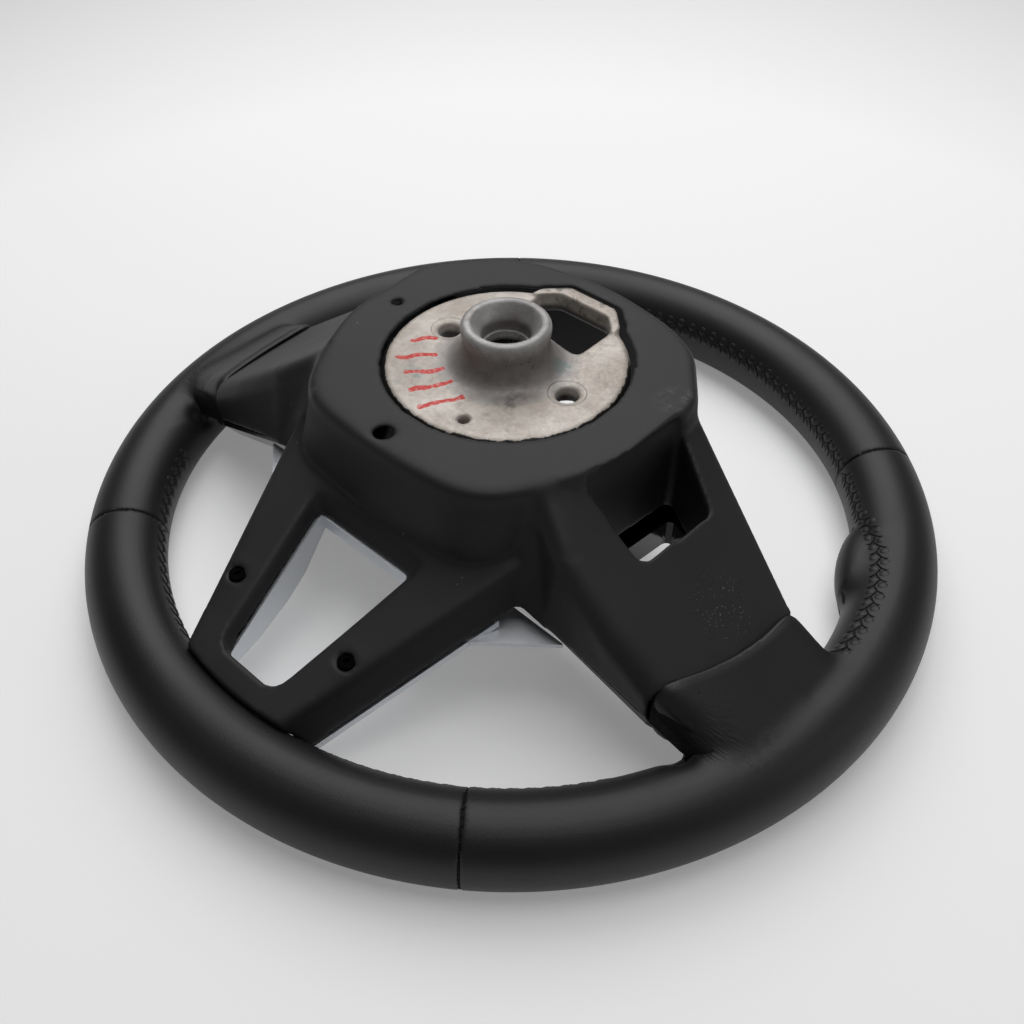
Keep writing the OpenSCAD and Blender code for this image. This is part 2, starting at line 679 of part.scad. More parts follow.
// A spring wire held in its two lugs
module clip_wire_right() color("gray") {
    translate([wire_x, wire_low, wire_z]) rotate([-90, 0, 0]) cylinder(r = wire_d / 2, h = wire_high - wire_low);
}
module clip_wire_left() mirror([1, 0, 0]) clip_wire_right();

armature();
spline_bush();
rim_foam();
leather_top();
leather_right();
leather_bottom();
leather_left();
lace_top();
lace_right();
lace_bottom();
lace_left();
seam_upper_right();
seam_lower_right();
seam_lower_left();
seam_upper_left();
rear_cover();
lower_trim();
bezel_right();
bezel_left();
leg_screws();
bezel_screws();
clip_wire_right();
clip_wire_left();
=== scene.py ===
"""Looks of a bare car steering wheel, seen from its column side, and the studio that it lies in."""
import math

import bmesh
import bpy
from mathutils import Matrix, Vector
from mathutils.bvhtree import BVHTree


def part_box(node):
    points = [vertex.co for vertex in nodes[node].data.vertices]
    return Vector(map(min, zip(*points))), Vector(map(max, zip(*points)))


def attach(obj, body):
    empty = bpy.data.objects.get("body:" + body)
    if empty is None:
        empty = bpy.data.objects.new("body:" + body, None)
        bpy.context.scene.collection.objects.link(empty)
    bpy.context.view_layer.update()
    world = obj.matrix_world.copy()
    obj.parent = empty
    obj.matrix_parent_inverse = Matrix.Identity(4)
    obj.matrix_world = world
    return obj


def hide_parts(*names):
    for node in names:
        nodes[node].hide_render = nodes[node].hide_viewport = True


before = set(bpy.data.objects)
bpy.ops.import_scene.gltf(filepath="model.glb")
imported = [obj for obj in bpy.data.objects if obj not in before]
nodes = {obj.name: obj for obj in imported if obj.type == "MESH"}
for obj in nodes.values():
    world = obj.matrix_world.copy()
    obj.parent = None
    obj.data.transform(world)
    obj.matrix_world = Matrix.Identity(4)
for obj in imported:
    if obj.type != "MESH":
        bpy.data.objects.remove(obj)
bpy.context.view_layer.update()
MM = 0.001

# Sizes of the rim, in millimetres and degrees
RING_R = 168.0
GRIP_R = 17.0
LEATHER = 1.2
JOINT_R = 139.1
SEAM_GAP = 0.32
SEAMS = {"upper_right": 47.4, "lower_right": -52.7, "lower_left": 230.1, "upper_left": 130.0}
PANELS = {
    "leather_top": ("upper_right", "upper_left"),
    "leather_right": ("lower_right", "upper_right"),
    "leather_bottom": ("lower_left", "lower_right"),
    "leather_left": ("upper_left", "lower_left"),
}

# Places on the hub and the legs, in metres: the puller holes, and the wells of the leg screws
PULLER_X = 0.032
WELL_X, WELL_Y = 0.032, -0.122
LEG_SCREW_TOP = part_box("leg_screws")[1][2]


# Node groups and materials

VECTOR, NUMBER = "NodeSocketVector", "NodeSocketFloat"
ZERO = (0, 0, 0)


def new_group(name, inputs, output):
    """A shader node group with its inputs, as (name, kind, value), and one number that it puts out."""
    tree = bpy.data.node_groups.new(name, "ShaderNodeTree")
    for title, kind, value in inputs:
        s = tree.interface.new_socket(title, in_out="INPUT", socket_type=kind)
        s.default_value = value
    tree.interface.new_socket(output, in_out="OUTPUT", socket_type=NUMBER)
    return tree, tree.nodes.new("NodeGroupInput"), tree.nodes.new("NodeGroupOutput")


def add(tree, kind, links=(), **values):
    """One node with its properties and socket values, fed by (socket name, source socket) pairs."""
    n = tree.nodes.new(kind)
    for key, value in values.items():
        if hasattr(n, key) and key not in n.inputs:
            setattr(n, key, value)
        else:
            n.inputs[key.replace("_", " ")].default_value = value
    for name, source in links:
        tree.links.new(source, n.inputs[name])
    return n


def maths(tree, operation, a, b=None, clamp=False):
    n = tree.nodes.new("ShaderNodeMath")
    n.operation, n.use_clamp = operation, clamp
    for k, v in enumerate((a, b)):
        if v is None:
            continue
        if isinstance(v, (int, float)):
            n.inputs[k].default_value = v
        else:
            tree.links.new(v, n.inputs[k])
    return n.outputs[0]


def both(tree, a, b):
    return maths(tree, "MULTIPLY", a, b)


def either(tree, *masks):
    total = masks[0]
    for m in masks[1:]:
        total = maths(tree, "MAXIMUM", total, m)
    return total


def remap(tree, value, low, high, out_low=0.0, out_high=1.0):
    n = tree.nodes.new("ShaderNodeMapRange")
    tree.links.new(value, n.inputs["Value"])
    for k, v in (("From Min", low), ("From Max", high), ("To Min", out_low), ("To Max", out_high)):
        n.inputs[k].default_value = v
    return n.outputs["Result"]


def band(tree, value, rise, fall):
    """One between two limits of a value, each given as where its soft edge starts and ends."""
    return both(tree, remap(tree, value, *rise), remap(tree, value, fall[1], fall[0]))


def tint(tree, factor, a, b):
    """A mix of two colours, each a tuple or a socket."""
    n = tree.nodes.new("ShaderNodeMix")
    n.data_type = "RGBA"
    tree.links.new(factor, n.inputs[0])
    for k, v in ((6, a), (7, b)):
        if isinstance(v, tuple):
            n.inputs[k].default_value = (*v, 1)
        else:
            tree.links.new(v, n.inputs[k])
    return n.outputs[2]


def coordinates(tree, place):
    n = add(tree, "ShaderNodeSeparateXYZ", [("Vector", place)])
    return n.outputs["X"], n.outputs["Y"], n.outputs["Z"]


def flat_length(tree, x, y):
    return maths(tree, "SQRT", maths(tree, "ADD", both(tree, x, x), both(tree, y, y)))


def speckle_group():
    """Small pale specks of dust: a greater amount fills more of the cells."""
    sockets = [("Vector", VECTOR, ZERO), ("Scale", NUMBER, 600.0), ("Amount", NUMBER, 0.3)]
    tree, i, o = new_group("dust_specks", sockets, "Mask")
    cells = add(tree, "ShaderNodeTexVoronoi",
                [("Vector", i.outputs["Vector"]), ("Scale", i.outputs["Scale"])])
    dots = remap(tree, cells.outputs["Distance"], 0.16, 0.06)
    keep = maths(tree, "GREATER_THAN", i.outputs["Amount"], cells.outputs["Color"])
    tree.links.new(both(tree, dots, keep), o.inputs["Mask"])
    return tree


def spot_group():
    """One inside a ball round a point, falling to nought at its soft edge."""
    sockets = [("Vector", VECTOR, ZERO), ("Centre", VECTOR, ZERO), ("Radius", NUMBER, 0.01)]
    tree, i, o = new_group("soft_spot", sockets, "Mask")
    away = add(tree, "ShaderNodeVectorMath", operation="DISTANCE")
    tree.links.new(i.outputs["Vector"], away.inputs[0])
    tree.links.new(i.outputs["Centre"], away.inputs[1])
    ratio = maths(tree, "DIVIDE", away.outputs["Value"], i.outputs["Radius"])
    tree.links.new(remap(tree, ratio, 1.0, 0.4), o.inputs["Mask"])
    return tree


def stroke_group():
    """One on a straight pen stroke from A to B."""
    sockets = [("Vector", VECTOR, ZERO), ("A", VECTOR, ZERO), ("B", VECTOR, ZERO), ("Width", NUMBER, 0.0008)]
    tree, i, o = new_group("pen_stroke", sockets, "Mask")

    def vector(operation, a, b=None, scale=None):
        n = tree.nodes.new("ShaderNodeVectorMath")
        n.operation = operation
        tree.links.new(a, n.inputs[0])
        if b is not None:
            tree.links.new(b, n.inputs[1])
        if scale is not None:
            tree.links.new(scale, n.inputs["Scale"])
        return n
    from_a = vector("SUBTRACT", i.outputs["Vector"], i.outputs["A"]).outputs["Vector"]
    whole = vector("SUBTRACT", i.outputs["B"], i.outputs["A"]).outputs["Vector"]
    along = maths(tree, "DIVIDE", vector("DOT_PRODUCT", from_a, whole).outputs["Value"],
                  vector("DOT_PRODUCT", whole, whole).outputs["Value"], clamp=True)
    nearest = vector("SCALE", whole, scale=along).outputs["Vector"]
    aside = vector("SUBTRACT", from_a, nearest).outputs["Vector"]
    ratio = maths(tree, "DIVIDE", vector("LENGTH", aside).outputs["Value"], i.outputs["Width"])
    tree.links.new(remap(tree, ratio, 1.0, 0.75), o.inputs["Mask"])
    return tree


DUST, SPOT, STROKE = speckle_group(), spot_group(), stroke_group()


def use_group(tree, group, place, **values):
    n = tree.nodes.new("ShaderNodeGroup")
    n.node_tree = group
    tree.links.new(place, n.inputs["Vector"])
    for key, value in values.items():
        n.inputs[key].default_value = value
    return n.outputs[0]


def dust_at(tree, place, scale, amount):
    return use_group(tree, DUST, place, Scale=scale, Amount=amount)


def spots_at(tree, place, *spots):
    """Soft spots, each given as its centre and radius in millimetres."""
    return either(tree, *(
        use_group(tree, SPOT, place, Centre=tuple(c * MM for c in centre), Radius=radius * MM)
        for centre, radius in spots))


def noise_at(tree, place, scale, detail=3.0, rough=0.5):
    return add(tree, "ShaderNodeTexNoise", [("Vector", place)], Scale=scale, Detail=detail,
               Roughness=rough).outputs["Fac"]


def start(name, **values):
    """A new material with its tree, shader and object coordinates."""
    m = bpy.data.materials.new(name)
    m.use_nodes = True
    tree = m.node_tree
    shader = tree.nodes["Principled BSDF"]
    for key, value in values.items():
        shader.inputs[key.replace("_", " ")].default_value = value
    place = tree.nodes.new("ShaderNodeTexCoord").outputs["Object"]
    return m, tree, shader, place


def surface(tree, shader, colour, vary, low, high, rough_low, rough_high):
    """Sets the colour, and the roughness, which rises or falls as vary goes from low to high."""
    tree.links.new(colour, shader.inputs["Base Color"])
    tree.links.new(remap(tree, vary, low, high, rough_low, rough_high), shader.inputs["Roughness"])


def bump(tree, shader, height, strength, distance):
    n = add(tree, "ShaderNodeBump", [("Height", height)], Strength=strength, Distance=distance)
    tree.links.new(n.outputs["Normal"], shader.inputs["Normal"])


# Where the leather is creased: each spoke root's lower corner, and where its creases meet
FOLDS = (((150, -45, 31), 21), ((-150, -45, 31), 21))
FOLD_POINT, FOLD_COUNT, FOLD_LENGTH = (131, -60), 26.0, 170.0


def creases(tree, place):
    """Fine creases that run out from a point on either side of the wheel, seen from above."""
    x, y, _ = coordinates(tree, place)
    x = maths(tree, "SUBTRACT", maths(tree, "ABSOLUTE", x), FOLD_POINT[0] * MM)
    y = maths(tree, "SUBTRACT", y, FOLD_POINT[1] * MM)
    angle = both(tree, maths(tree, "ARCTAN2", y, x), FOLD_COUNT)
    away = both(tree, flat_length(tree, x, y), FOLD_LENGTH)
    polar = add(tree, "ShaderNodeCombineXYZ", [("X", angle), ("Y", away)]).outputs["Vector"]
    return remap(tree, noise_at(tree, polar, 1.0, 2.0), 0.38, 0.62)


def leather_material():
    m, tree, shader, place = start("black_leather", Specular_IOR_Level=0.45)
    soft = noise_at(tree, place, 14.0)
    colour = tint(tree, remap(tree, soft, 0.35, 0.7), (0.0075, 0.0074, 0.0082), (0.0115, 0.0113, 0.0125))
    dust = both(tree, dust_at(tree, place, 420.0, 0.12), remap(tree, noise_at(tree, place, 30.0), 0.5, 0.65))
    colour = tint(tree, both(tree, dust, 0.3), colour, (0.12, 0.12, 0.12))
    surface(tree, shader, colour, soft, 0.3, 0.7, 0.44, 0.52)
    grain = add(tree, "ShaderNodeTexVoronoi", [("Vector", place)], Scale=1300.0).outputs["Distance"]
    folds = both(tree, creases(tree, place), spots_at(tree, place, *FOLDS))
    bump(tree, shader, maths(tree, "ADD", both(tree, grain, 0.1), both(tree, folds, 0.5)), 0.5, 0.0005)
    return m


# Where the cover is marked: the cluster of specks on the right spoke back, and two scuffs on the bowl
SPECKS = ((122, -16, 53), 17)
SCUFFS = (((67, 23, 96.5), 10), ((-43, -66, 96), 3.5))


def plastic_material():
    m, tree, shader, place = start("matt_cover_plastic", Specular_IOR_Level=0.3)
    soft = noise_at(tree, place, 18.0)
    colour = tint(tree, remap(tree, soft, 0.35, 0.7), (0.0195, 0.019, 0.0205), (0.0265, 0.0258, 0.0278))
    dust = both(tree, dust_at(tree, place, 330.0, 0.16), remap(tree, noise_at(tree, place, 26.0), 0.52, 0.62))
    specks = either(tree, dust_at(tree, place, 560.0, 1.0), dust_at(tree, place, 690.0, 1.0))
    patches = remap(tree, noise_at(tree, place, 170.0), 0.4, 0.46)
    cluster = both(tree, specks, both(tree, spots_at(tree, place, SPECKS), patches))
    scratches = remap(tree, noise_at(tree, place, 240.0, 5.0, 0.7), 0.5, 0.68)
    scuff = both(tree, spots_at(tree, place, *SCUFFS), scratches)
    marks = either(tree, both(tree, dust, 0.4), both(tree, cluster, 0.6), both(tree, scuff, 0.22))
    surface(tree, shader, tint(tree, marks, colour, (0.32, 0.31, 0.3)), soft, 0.3, 0.75, 0.5, 0.6)
    bump(tree, shader, noise_at(tree, place, 2400.0, 2.0), 0.18, 0.0002)
    return m


# Ends of the pen strokes on the hub plate in millimetres, and how far they waver in metres
STROKES = [((-38, -16), (-31, -9)), ((-33, -27), (-24, -17)), ((-24, -33), (-15, -22)),
           ((-15, -39), (-7, -26)), ((-5, -44), (3, -29))]
WAVER, STROKE_WIDTH, PLATE_Z = 0.005, 0.0014, 0.096

# Where the casting is marked: stains from cleaning, and grime beside the boss
STAINS = (((-22, -33, 96), 9), ((21, 10, 97), 6))
GRIME = (((-14, 2, 98), 9), ((20, -19, 97), 7))


def pen_strokes(tree, place):
    """One on the wavering strokes. The noise that moves them averages a half, so their ends move with it."""
    shake = add(tree, "ShaderNodeTexNoise", [("Vector", place)], Scale=110.0, Detail=2.0)
    moved = tree.nodes.new("ShaderNodeVectorMath")
    moved.operation = "MULTIPLY_ADD"
    tree.links.new(shake.outputs["Color"], moved.inputs[0])
    moved.inputs[1].default_value = (WAVER, WAVER, 0.0)
    tree.links.new(place, moved.inputs[2])
    ends = [[(p[0] * MM + WAVER / 2, p[1] * MM + WAVER / 2, PLATE_Z) for p in stroke] for stroke in STROKES]
    return either(tree, *(use_group(tree, STROKE, moved.outputs["Vector"], A=a, B=b, Width=STROKE_WIDTH)
                          for a, b in ends))


def cast_material():
    m, tree, shader, place = start("cast_metal", Metallic=0.3, Specular_IOR_Level=0.5)
    x, y, z = coordinates(tree, place)
    radius = flat_length(tree, x, y)
    big = remap(tree, noise_at(tree, place, 46.0, 5.0, 0.65), 0.36, 0.64)
    mottle = noise_at(tree, place, 190.0, 4.0, 0.7)
    fine = noise_at(tree, place, 700.0, 3.0)
    # A warm plate, and a cooler boss whose side is painted darker as shade
    warm = tint(tree, big, (0.40, 0.35, 0.305), (0.60, 0.55, 0.50))
    cool = tint(tree, big, (0.30, 0.29, 0.285), (0.50, 0.49, 0.48))
    on_boss = remap(tree, radius, 0.031, 0.024)
    colour = tint(tree, on_boss, warm, cool)
    colour = tint(tree, remap(tree, mottle, 0.5, 0.72, 0.0, 0.55), colour, (0.22, 0.19, 0.165))
    # The boss's side below its top is painted darker and browner, as shade
    side = both(tree, on_boss, remap(tree, z, 0.111, 0.107, 0.0, 0.5))
    colour = tint(tree, side, colour, (0.15, 0.12, 0.105))
    stain = both(tree, spots_at(tree, place, *STAINS), remap(tree, mottle, 0.4, 0.6))
    colour = tint(tree, both(tree, stain, 0.5), colour, (0.16, 0.26, 0.26))
    # Turned seats round the two puller holes
    from_hole = flat_length(tree, maths(tree, "SUBTRACT", maths(tree, "ABSOLUTE", x), PULLER_X), y)
    colour = tint(tree, remap(tree, from_hole, 0.0073, 0.0069, 0.0, 0.4), colour, (0.64, 0.60, 0.55))
    groove = band(tree, from_hole, (0.0070, 0.0073), (0.0075, 0.0079))
    colour = tint(tree, both(tree, groove, 0.4), colour, (0.20, 0.17, 0.15))
    # Pits under the boss's lip, on the side that the photo shows
    front = remap(tree, maths(tree, "SUBTRACT", x, both(tree, y, 0.9)), 0.006, 0.012)
    below_lip = band(tree, z, (0.099, 0.103), (0.106, 0.1095))
    pits = both(tree, both(tree, dust_at(tree, place, 340.0, 0.85), below_lip), front)
    # Dirty edge of the plate, dirty lip of its window, and painted shade on all that lies under the plate
    ragged = maths(tree, "ADD", radius, both(tree, maths(tree, "SUBTRACT", mottle, 0.5), 0.003))
    edge = both(tree, remap(tree, ragged, 0.0486, 0.0489), remap(tree, y, 0.036, 0.03))
    lip = both(tree, both(tree, remap(tree, y, 0.044, 0.047), remap(tree, mottle, 0.52, 0.64)), 0.6)
    # All that lies under the plate is painted near black, as the shade inside the hub
    under = remap(tree, z, 0.0925, 0.0905)
    grime = both(tree, spots_at(tree, place, *GRIME), remap(tree, mottle, 0.5, 0.62))
    dirt_and_shade = either(tree, edge, pits, lip, both(tree, grime, 0.4), both(tree, under, 0.85))
    colour = tint(tree, dirt_and_shade, colour, (0.018, 0.016, 0.015))
    # Red pen, thin where the metal is rough
    ink = both(tree, pen_strokes(tree, place), remap(tree, fine, 0.34, 0.5, 0.6, 0.95))
    colour = tint(tree, ink, colour, (0.50, 0.014, 0.012))
    surface(tree, shader, colour, fine, 0.3, 0.7, 0.38, 0.58)
    hollows = either(tree, pits, both(tree, groove, 0.6))
    bump(tree, shader, maths(tree, "SUBTRACT", both(tree, mottle, 0.5), hollows), 0.35, 0.0005)
    return m


def fine_material(name, scale, dark, light, rough, **values):
    """A smooth finish whose colour and roughness vary with one noise."""
    m, tree, shader, place = start(name, **values)
    fine = noise_at(tree, place, scale)
    surface(tree, shader, tint(tree, fine, dark, light), fine, 0.3, 0.7, *rough)
    return m


def bush_material():
    """Bright teeth at the top of the bush, painted near black further down as the shade in its bore."""
    m, tree, shader, place = start("broached_steel", Metallic=0.5)
    _, _, z = coordinates(tree, place)
    fine = noise_at(tree, place, 500.0)
    bright = tint(tree, fine, (0.7, 0.69, 0.67), (0.9, 0.89, 0.87))
    # Below the teeth the bush is painted near black, as shade in the bore
    colour = tint(tree, remap(tree, z, 0.1012, 0.0992), bright, (0.01, 0.009, 0.008))
    surface(tree, shader, colour, fine, 0.3, 0.7, 0.3, 0.42)
    return m


def thread_material():
    m, tree, shader, place = start("black_thread", Specular_IOR_Level=0.25)
    twist = add(tree, "ShaderNodeTexWave", [("Vector", place)], Scale=900.0, Distortion=2.0).outputs["Fac"]
    colour = tint(tree, twist, (0.002, 0.002, 0.0022), (0.005, 0.005, 0.0055))
    surface(tree, shader, colour, twist, 0.0, 1.0, 0.55, 0.7)
    bump(tree, shader, twist, 0.4, 0.0002)
    return m


def foam_material():
    m, tree, shader, place = start("moulded_foam", Specular_IOR_Level=0.2)
    cells = add(tree, "ShaderNodeTexVoronoi", [("Vector", place)], Scale=900.0).outputs["Distance"]
    colour = tint(tree, cells, (0.008, 0.008, 0.008), (0.016, 0.016, 0.016))
    surface(tree, shader, colour, cells, 0.0, 1.0, 0.7, 0.9)
    bump(tree, shader, cells, 0.4, 0.0004)
    return m


LEATHER_M, PLASTIC_M, CAST_M = leather_material(), plastic_material(), cast_material()
BUSH_M, THREAD_M, FOAM_M = bush_material(), thread_material(), foam_material()
SILVER_M = fine_material("satin_silver", 900.0, (0.76, 0.79, 0.835), (0.86, 0.885, 0.915), (0.36, 0.46),
                         Metallic=0.6, Specular_IOR_Level=0.5)
GLOSS_M = fine_material("gloss_black", 40.0, (0.006, 0.006, 0.007), (0.011, 0.011, 0.012), (0.1, 0.2),
                        Specular_IOR_Level=0.5)
# The screws are painted near black with almost no gloss, as the shade deep in their wells
SCREW_SHADE_M = fine_material("screw_in_painted_shade", 500.0, (0.0016, 0.0016, 0.0016), (0.002, 0.002, 0.002), (0.74, 0.88),
                        Specular_IOR_Level=0.02)
WIRE_M = fine_material("spring_wire", 500.0, (0.24, 0.24, 0.248), (0.3, 0.3, 0.31), (0.34, 0.48),
                       Metallic=0.9, Specular_IOR_Level=0.5)

CAD_LOOKS = {
    "spline_bush": BUSH_M, "rim_foam": FOAM_M, "lower_trim": SILVER_M, "bezel_right": GLOSS_M,
    "bezel_left": GLOSS_M, "leg_screws": SCREW_SHADE_M, "bezel_screws": SCREW_SHADE_M, "clip_wire_right": WIRE_M,
    "clip_wire_left": WIRE_M,
}
for name, material in CAD_LOOKS.items():
    mesh = nodes[name].data
    mesh.materials.clear()
    mesh.materials.append(material)


# Pieces

def finish_piece(name, mesh, material, slot, *stands_for):
    mesh.materials.clear()
    mesh.materials.append(material)
    mesh.shade_smooth()
    o = bpy.data.objects.new(name, mesh)
    bpy.context.scene.collection.objects.link(o)
    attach(o, "root")
    if stands_for:
        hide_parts(*stands_for)


def as_mesh(name, bm):
    """A mesh from a bmesh, which is given up."""
    mesh = bpy.data.meshes.new(name)
    bm.to_mesh(mesh)
    bm.free()
    return mesh


def piece(name, bm, material, slot, *stands_for):
    """A finished piece from a bmesh in millimetres."""
    bmesh.ops.scale(bm, vec=(MM, MM, MM), verts=bm.verts)
    finish_piece(name, as_mesh(name, bm), material, slot, *stands_for)


def applied(mesh, kind, **values):
    """The mesh after one modifier."""
    o = bpy.data.objects.new("work", mesh)
    bpy.context.scene.collection.objects.link(o)
    modifier = o.modifiers.new("work", kind)
    for key, value in values.items():
        setattr(modifier, key, value)
    graph = bpy.context.evaluated_depsgraph_get()
    out = bpy.data.meshes.new_from_object(o.evaluated_get(graph))
    bpy.data.objects.remove(o)
    return out


def smooth(bm, verts, rounds):
    for _ in range(rounds):
        bmesh.ops.smooth_vert(bm, verts=verts, factor=0.5, use_axis_x=True, use_axis_y=True, use_axis_z=True)


def relax(bm, rounds, chosen):
    """Smooths the vertices that chosen(co) picks."""
    smooth(bm, [v for v in bm.verts if chosen(v.co)], rounds)


def flat(co):
    """Distance of a point from the wheel's axis."""
    return math.hypot(co.x, co.y)


def moulded_skin(node, voxel, keep, material, slot, rounds, shift=None):
    """A smooth copy of a moulded or cast CAD piece: rounds are (count, chosen) pairs for relax."""
    bm = bmesh.new()
    bm.from_mesh(nodes[node].data)
    bmesh.ops.remove_doubles(bm, verts=bm.verts, dist=1e-6)
    mesh = as_mesh(node + "_merged", bm)
    bm = bmesh.new()
    bm.from_mesh(applied(mesh, "REMESH", mode="VOXEL", voxel_size=voxel))
    for count, chosen in rounds:
        relax(bm, count, chosen)
    if shift:
        for v in bm.verts:
            v.co = shift(v.co)
    mesh = as_mesh(node + "_smooth", bm)
    finish_piece(node + "_skin", applied(mesh, "DECIMATE", ratio=keep), material, slot, node)


def everywhere(co):
    return True


def off_joint(co):
    """All but the edges of the cover that meet the leather and the rim."""
    return co.y > -0.139 and (abs(co.x) < 0.12 or flat(co) < 0.1365)


def off_puller_holes(co):
    return math.hypot(abs(co.x) - PULLER_X, co.y) > 0.0085


def low_corner(co):
    """The bowl's lower part, outside its opening."""
    return co.z > 0.08 and co.y < -0.04 and flat(co) > 0.054


# How far, in metres, the bowl's lower corners and the edges of two kinds of opening are drawn in
CORNER_STEP, PLATE_STEP, WELL_STEP = 0.0028, 0.0011, 0.0011
CORNER_ANGLE, CORNER_SPREAD = 54, 10


def settled(co):
    """Draws in the bowl's lower corners, the opening round the plate and the wells of the leg screws."""
    well = Vector((math.copysign(WELL_X, co.x), WELL_Y, co.z))
    reach, height = (co - well).length, co.z - LEG_SCREW_TOP
    if reach < 0.0078 and height > 0:
        step = WELL_STEP * min((0.0078 - reach) / 0.0038, 1) * min(height / 0.0006, 1)
        return co + (well - co).normalized() * step
    r = flat(co)
    step = 0.0
    if co.z > 0.07 and co.y < -0.03 and r > 0.058:
        off_corner = (math.degrees(math.atan2(-co.y, abs(co.x))) - CORNER_ANGLE) / CORNER_SPREAD
        rise = min((r - 0.058) / 0.015, 1) * min((co.z - 0.07) / 0.015, 1)
        step = CORNER_STEP * math.exp(-off_corner ** 2) * rise
    if co.z > 0.088 and r < 0.055 and co.y < 0.03:
        step = PLATE_STEP * (0.055 - r) / 0.0036
    return Vector((co.x * (1 - step / r), co.y * (1 - step / r), co.z)) if step else co


moulded_skin("rear_cover", 0.0011, 0.3, PLASTIC_M, "cover_plastic",
             [(1, everywhere), (6, off_joint), (24, low_corner)], settled)
moulded_skin("armature", 0.0009, 0.3, CAST_M, "cast_metal", [(1, everywhere), (2, off_puller_holes)])


def on_ring(angle, section, radius):
    """Point at an angle round the wheel, and in the ring's section at an angle from its inside upwards."""
    a, s = math.radians(angle), math.radians(section)
    r = RING_R - radius * math.cos(s)
    return Vector((r * math.cos(a), r * math.sin(a), GRIP_R + radius * math.sin(s)))


def turned(degrees, axis):
    return Matrix.Rotation(math.radians(degrees), 4, axis)


def spun(bm, geom, steps):
    """A full turn of some geometry round the upright axis."""
    bmesh.ops.spin(bm, geom=geom, cent=(0, 0, 0), axis=(0, 0, 1), angle=math.radians(360), steps=steps,
                   use_merge=True)


def add_ring(bm, radius):
    """The whole grip as a spun circle."""
    verts = bmesh.ops.create_circle(bm, segments=48, radius=radius)["verts"]
    bmesh.ops.transform(bm, matrix=Matrix.Translation((RING_R, 0, GRIP_R)) @ turned(90, "X"), verts=verts)
    spun(bm, verts + [e for e in bm.edges if e.verts[0] in verts and e.verts[1] in verts], 360)


# The right spoke's root in millimetres: its inner and outer end, its upper side, its lower side at top and
# bottom, and how high its top and bottom lie
ROOT_X = (112.0, 166.0)
ROOT_UPPER, ROOT_LOWER_TOP, ROOT_LOWER_BASE = 9.5, (-62.0, -50.0), -62.5
ROOT_TOP, ROOT_BASE = (60.5, 31.0), (24.0, 14.0)


def add_root(bm):
    """The right spoke's root as a bevelled block that sinks into the rim at its outer end."""
    verts = bmesh.ops.create_cube(bm, size=1)["verts"]
    for v in verts:
        outer, upper, top = v.co.x > 0, v.co.y > 0, v.co.z > 0
        lower = ROOT_LOWER_TOP[outer] if top else ROOT_LOWER_BASE
        v.co = (ROOT_X[outer], ROOT_UPPER if upper else lower, ROOT_TOP[outer] if top else ROOT_BASE[upper])
    sides = [e for e in bm.edges if e.verts[0] in verts and e.verts[1] in verts
             and abs(e.verts[0].co.x - e.verts[1].co.x) > 10]
    bmesh.ops.bevel(bm, geom=sides, offset=6, segments=5, profile=0.5, affect="EDGES", material=-1)


def add_thumb_rest(bm):
    made = bmesh.ops.create_uvsphere(bm, u_segments=48, v_segments=24, radius=1)
    turn = (turned(25.5, "Z") @ Matrix.Translation((156.3, 0, GRIP_R + 0.5))
            @ Matrix.Diagonal((12.0, 29.0, 11.5, 1)))
    bmesh.ops.transform(bm, matrix=turn, verts=made["verts"])


def mirror_all(bm, verts):
    chosen = set(verts)
    made = bmesh.ops.duplicate(bm, geom=verts + [e for e in bm.edges if e.verts[0] in chosen]
                               + [f for f in bm.faces if f.verts[0] in chosen])
    copies = [g for g in made["geom"] if isinstance(g, bmesh.types.BMVert)]
    bmesh.ops.scale(bm, vec=(-1, 1, 1), verts=copies)
    bmesh.ops.reverse_faces(bm, faces=[g for g in made["geom"] if isinstance(g, bmesh.types.BMFace)])


# The crease in each root's lower corner, where its leather is sewn, with its depth and width
CREASE = (Vector((129.5, -51, 38)), Vector((141, -62, 27)))
CREASE_DEPTH, CREASE_WIDTH = 3.2, 5.5

# How the lace climbs over the thumb rest: section angle at angles round the wheel
LACE_PATH = [(4, 58), (7, 61), (15, 64), (20, 63), (26, 58), (32, 42), (36, 24), (42, 21), (53, 17),
             (64, 16), (76, 20), (90, 23)]


def lace_section(angle):
    """Section angle of the lace, which stays on the rim's inner side from the left thumb rest on."""
    if angle > 137 or angle < 0:
        return 18.0
    a = 180 - angle if angle > 90 else angle
    for (a0, s0), (a1, s1) in zip(LACE_PATH, LACE_PATH[1:]):
        if a <= a1:
            return s0 + (s1 - s0) * max(a - a0, 0) / (a1 - a0)
    return LACE_PATH[-1][1]


def from_crease(p):
    """Distance of a point from the crease, on either side of the wheel."""
    q = Vector((abs(p.x), p.y, p.z))
    a, b = CREASE
    t = min(max((q - a).dot(b - a) / (b - a).length_squared, 0), 1)
    return (q - a - (b - a) * t).length


def into_rim(co):
    """Where the roots and thumb rests flow into the rim."""
    return abs(co.x) > 139 and -84 < co.y < 96 and flat(co) < 168 and co.z > 16


